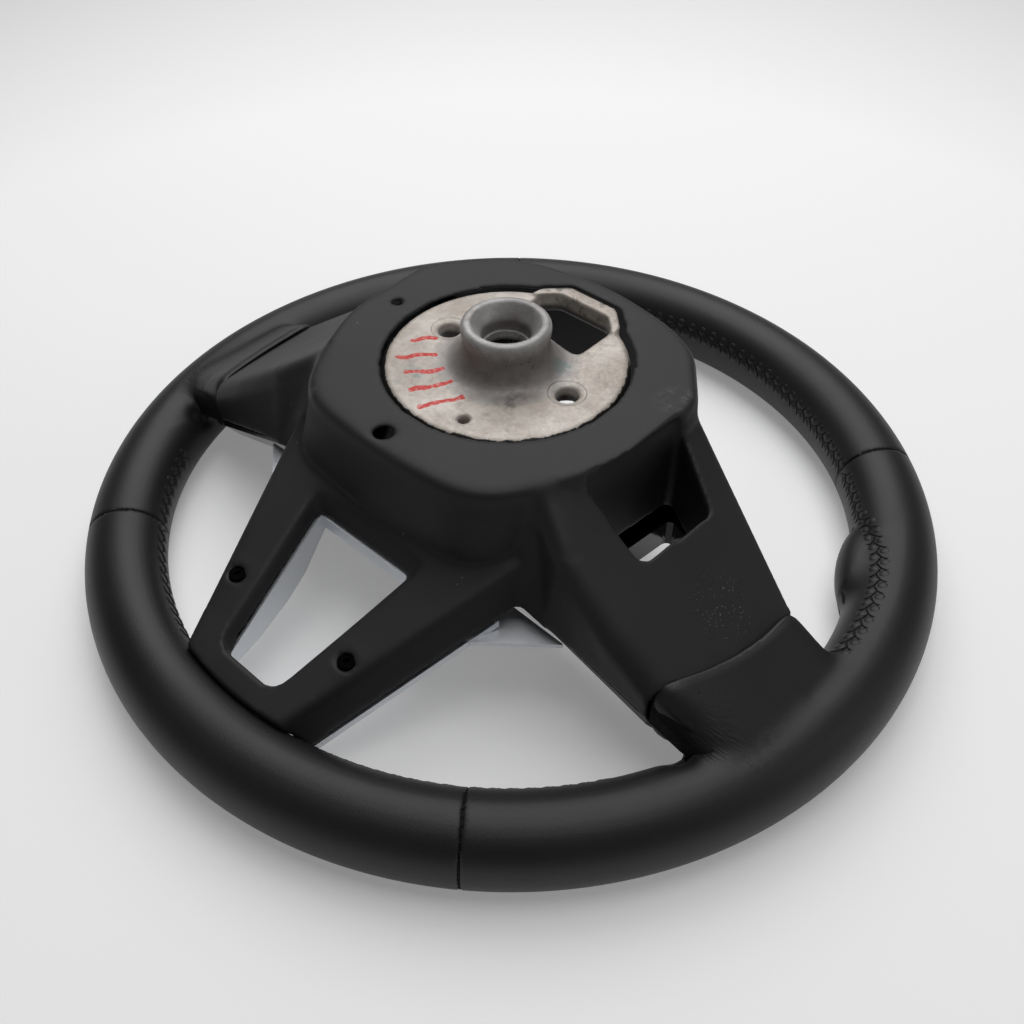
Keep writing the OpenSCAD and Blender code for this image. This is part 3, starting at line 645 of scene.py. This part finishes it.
def wrap_form(voxel):
    """Outside of the whole leather wrap as one smooth closed mesh."""
    bm = bmesh.new()
    add_ring(bm, GRIP_R + 0.25)
    ring_verts = set(bm.verts)
    add_root(bm)
    add_thumb_rest(bm)
    mirror_all(bm, [v for v in bm.verts if v not in ring_verts])
    bmesh.ops.recalc_face_normals(bm, faces=bm.faces)
    mesh = applied(as_mesh("wrap_form", bm), "REMESH", mode="VOXEL", voxel_size=voxel)
    bm = bmesh.new()
    bm.from_mesh(applied(mesh, "SMOOTH", factor=0.5, iterations=8))
    relax(bm, 26, into_rim)
    bm.normal_update()
    dents = [(v, CREASE_DEPTH * math.exp(-(from_crease(v.co) / CREASE_WIDTH) ** 2)) for v in bm.verts
             if abs(v.co.x) > 110 and -80 < v.co.y < -30]
    for v, depth in dents:
        v.co -= v.normal * depth
    bm.normal_update()
    return bm


def cut(bm, normal):
    """Removes what lies on the side of the wheel's axis that the normal points to."""
    bmesh.ops.bisect_plane(bm, geom=bm.verts[:] + bm.edges[:] + bm.faces[:], plane_co=(0, 0, 0),
                           plane_no=normal, clear_outer=True)


def open_edges(bm):
    return [e for e in bm.edges if len(e.link_faces) == 1]


def even_edge(bm, joint):
    """Evens the edge at the joint: each of its points goes to the middle of its neighbours, on the circle."""
    border = {v for e in open_edges(bm) for v in e.verts if flat(v.co) < joint}
    beside = [(v, [e.other_vert(v) for e in v.link_edges if len(e.link_faces) == 1]) for v in border]
    for _ in range(14):
        spots = [(v, sum((w.co for w in near), v.co.copy()) / (len(near) + 1)) for v, near in beside]
        for v, spot in spots:
            k = joint / flat(spot)
            v.co = (spot.x * k, spot.y * k, spot.z)
    smooth(bm, [v for v in bm.verts if v not in border and flat(v.co) < joint + 4], 6)
    bm.normal_update()


def roll_edges(bm, joint, roll):
    """Rolls the leather in by a depth at the joint, and by 0.4 mm at the seams."""
    drops = [(v, roll * (1 - (flat(v.co) - joint) / 3) ** 2) for v in bm.verts if flat(v.co) < joint + 3]
    edge = {v for e in open_edges(bm) for v in e.verts} - {v for v, _ in drops}
    for v, drop in drops + [(v, 0.4) for v in edge]:
        v.co -= v.normal * drop


def leather_panels(form):
    gap = math.degrees(SEAM_GAP / RING_R)
    for name, (first, last) in PANELS.items():
        a0, a1 = SEAMS[first], SEAMS[last]
        if a1 < a0:
            a1 += 360
        mid = math.radians((a0 + a1) / 2)
        bm = form.copy()
        for angle, sign in ((a0 + gap, -1), (a1 - gap, 1)):
            a = math.radians(angle)
            cut(bm, (sign * -math.sin(a), sign * math.cos(a), 0))
        away = [v for v in bm.verts if v.co.x * math.cos(mid) + v.co.y * math.sin(mid) < 0]
        bmesh.ops.delete(bm, geom=away, context="VERTS")
        joint, roll = (JOINT_R - 0.5, 1.45) if name == "leather_left" else (JOINT_R, 1.2)
        inside = [f for f in bm.faces if all(flat(v.co) < joint for v in f.verts)]
        bmesh.ops.delete(bm, geom=inside, context="FACES")
        even_edge(bm, joint)
        roll_edges(bm, joint, roll)
        bmesh.ops.solidify(bm, geom=bm.faces[:], thickness=LEATHER)
        piece(name + "_wrap", bm, LEATHER_M, "leather", name)


form = wrap_form(1.4)
leather_panels(form)
skin = BVHTree.FromBMesh(form)


# Sizes of the lacing, in millimetres: half its width, two stitches along, and the thread's radius
HALF, PITCH, THREAD_R = 4.6, 6.2, 0.4


def bar(bm, start_at, end_at, radius):
    """A straight round piece of thread between two points."""
    along = end_at - start_at
    made = bmesh.ops.create_cone(bm, cap_ends=True, segments=6, radius1=radius, radius2=radius,
                                 depth=along.length + radius)
    turn = Matrix.Translation((start_at + end_at) / 2) @ along.to_track_quat("Z", "Y").to_matrix().to_4x4()
    bmesh.ops.transform(bm, matrix=turn, verts=made["verts"])


def on_wrap(angle, across, lift):
    """Point on the leather beside the lace's path, across in millimetres, and the normal there."""
    section = lace_section(angle) + math.degrees(across / GRIP_R)
    centre = on_ring(angle, section, 0)
    out = on_ring(angle, section, 1) - centre
    hit, normal, _, _ = skin.ray_cast(centre, out)
    return hit + normal * lift, normal


def puff(bm, middle, normal, along):
    """A small cushion of leather between stitches."""
    z = normal.normalized()
    y = (along - z * along.dot(z)).normalized()
    turn = Matrix.Translation(middle) @ Matrix((y.cross(z), y, z)).transposed().to_4x4()
    made = bmesh.ops.create_icosphere(bm, subdivisions=2, radius=1)
    size = Matrix.Diagonal((HALF * 0.62, PITCH * 0.48, 1.4, 1))
    bmesh.ops.transform(bm, matrix=turn @ size, verts=made["verts"])


def stitched(thread, leather, at, count):
    """A herringbone of thread along a path: at(k, across, lift) gives its points and normals."""
    for k in range(count):
        side = HALF if k % 2 else -HALF
        here, _ = at(k, side * 0.22, -0.05)
        there, _ = at(k + 1, -side * 0.22, -0.05)
        low, _ = at(k + 0.5, 0, 0.05)
        out, _ = at(k - 0.3, side * 0.62, -0.08)
        end, _ = at(k - 0.2, side * 0.9, -0.36)
        bar(thread, here, low, THREAD_R)
        bar(thread, low, there, THREAD_R)
        bar(thread, here, out, THREAD_R)
        bar(thread, out, end, THREAD_R * 0.9)
        middle, normal = at(k + 0.1, -side * 0.5, -1.02)
        ahead, _ = at(k + 0.6, -side * 0.5, -1.02)
        puff(leather, middle, normal, ahead - middle)


def crease_stitches(thread, sign):
    """Nine slanted stitches over the crease in one root, each with a tail."""
    a, b = (Vector((sign * p.x, p.y, p.z)) for p in CREASE)
    over = (b - a).cross(Vector((0, 0, 1))).normalized()

    def at(k, across, lift):
        hit, normal, _, _ = skin.find_nearest(a + (b - a) * k / 9 + over * across * 0.5)
        return hit + normal * lift
    for k in range(9):
        side = 1 if k % 2 else -1
        here = at(k, side * 1.2, 0.2)
        bar(thread, here, at(k + 1, -side * 1.2, 0.2), THREAD_R)
        bar(thread, here, at(k - 0.3, side * 5, 0.0), 0.35)


def lacing(name, spans, crease_side=0):
    """One lace: the stretches of the rim that it covers, and the side of the crease that it also sews."""
    thread, leather = bmesh.new(), bmesh.new()
    for a0, a1 in spans:
        count = round(math.radians(a1 - a0) * 150 / (PITCH / 2))
        step = (a1 - a0) / count
        stitched(thread, leather, lambda k, across, lift: on_wrap(a0 + k * step, across, lift), count)
    if crease_side:
        crease_stitches(thread, crease_side)
    piece(name + "_puffs", leather, LEATHER_M, "leather")
    piece(name + "_thread", thread, THREAD_M, "thread", name)


lacing("lace_top", [(48.2, 129.2)])
lacing("lace_right", [(4.5, 46.8), (-52, -33)], 1)
lacing("lace_bottom", [(231, 257), (283, 306.5)])
lacing("lace_left", [(130.8, 175.5), (213, 229.3)], -1)
form.free()


def seam_stitches(name, angle):
    """The ring of thread in the slit, with short stitches across it."""
    bm = bmesh.new()
    verts = bmesh.ops.create_circle(bm, segments=8, radius=0.5)["verts"]
    bmesh.ops.transform(bm, matrix=Matrix.Translation((GRIP_R - 0.9, 0, 0)) @ turned(90, "X"), verts=verts)
    spun(bm, bm.verts[:] + bm.edges[:], 64)
    place = turned(angle, "Z") @ Matrix.Translation((RING_R, 0, GRIP_R)) @ turned(90, "X")
    bmesh.ops.transform(bm, matrix=place, verts=bm.verts)
    half = math.degrees(0.9 / RING_R)
    for s in range(3, 363, 10):
        bar(bm, on_ring(angle - half, s, GRIP_R - 0.35), on_ring(angle + half, s + 3, GRIP_R - 0.35), 0.28)
    bmesh.ops.recalc_face_normals(bm, faces=bm.faces)
    piece(name + "_thread", bm, THREAD_M, "thread", name)


for corner, angle in SEAMS.items():
    seam_stitches("seam_" + corner, angle)


# Studio

# The floor's colour near the wheel, and further off a darker tone that is painted shade where the light falls
# off, and the distances between which it changes
NEAR_TONE, FAR_SHADE_TONE = (0.84, 0.84, 0.845), (0.5, 0.5, 0.505)
NEAR, FAR = 0.45, 0.85
# Strength of the floor's glow, and of the world as light and as what the camera sees
FLOOR_GLOW, WORLD_LIGHT, WORLD_SEEN = 0.22, 0.09, 0.9
# Name, place, size and power of each lamp
LAMPS = (
    ("softbox", (-0.75, 0.8, 1.35), 1.5, 17.0),
    ("overhead", (0.2, 0.1, 1.9), 1.2, 10.0),
    ("right", (1.7, 0.9, 0.9), 0.9, 2.5),
)
LAMP_TARGET = (0, 0, 0.03)


def studio_floor():
    bpy.ops.mesh.primitive_plane_add(size=12, location=(0, 0, 0))
    floor = bpy.context.object
    floor.name = "floor"
    m, tree, shader, place = start("floor", Roughness=0.7, Emission_Color=(1, 1, 1, 1))
    away = add(tree, "ShaderNodeVectorMath", [("Vector", place)], operation="LENGTH").outputs["Value"]
    # The floor is painted darker further off, as shade where the light falls off
    tree.links.new(tint(tree, remap(tree, away, NEAR, FAR), NEAR_TONE, FAR_SHADE_TONE), shader.inputs["Base Color"])
    # The glow lifts the shadow that the camera and gloss see, and lights nothing
    path = tree.nodes.new("ShaderNodeLightPath")
    seen = either(tree, path.outputs["Is Camera Ray"], path.outputs["Is Glossy Ray"])
    tree.links.new(both(tree, seen, FLOOR_GLOW), shader.inputs["Emission Strength"])
    floor.data.materials.append(m)


def studio_light():
    world = bpy.data.worlds.new("studio")
    bpy.context.scene.world = world
    world.use_nodes = True
    tree = world.node_tree
    back = tree.nodes["Background"]
    back.inputs["Color"].default_value = (1, 1, 1, 1)
    seen = tree.nodes.new("ShaderNodeLightPath").outputs["Is Camera Ray"]
    tree.links.new(remap(tree, seen, 0, 1, WORLD_LIGHT, WORLD_SEEN), back.inputs["Strength"])
    for name, place, size, power in LAMPS:
        light = bpy.data.lights.new(name, "AREA")
        light.energy, light.size = power, size
        o = bpy.data.objects.new(name, light)
        o.location = place
        o.rotation_mode = "QUATERNION"
        o.rotation_quaternion = (Vector(LAMP_TARGET) - Vector(place)).to_track_quat("-Z", "Y")
        bpy.context.scene.collection.objects.link(o)


# The camera as it was worked out from the photo: its place in metres and its three directions
CAMERA_AT = (0.24659, -0.26938, 0.37345)
CAMERA_RIGHT = Vector((0.72686, 0.68647, -0.0208))
CAMERA_UP = Vector((-0.4714, 0.52071, 0.71179))
CAMERA_AHEAD = Vector((-0.49945, 0.50757, -0.70209))


def camera():
    data = bpy.data.cameras.new("camera")
    data.sensor_width, data.lens = 36.0, 39.77
    data.shift_x, data.shift_y = 0.03344, -0.00559
    data.clip_start, data.clip_end = 0.01, 50
    o = bpy.data.objects.new("camera", data)
    turn = Matrix((CAMERA_RIGHT, CAMERA_UP, -CAMERA_AHEAD)).transposed()
    o.matrix_world = Matrix.Translation(CAMERA_AT) @ turn.to_4x4()
    bpy.context.scene.collection.objects.link(o)
    bpy.context.scene.camera = o


studio_floor()
studio_light()
camera()
bpy.context.scene.view_settings.view_transform = "Standard"
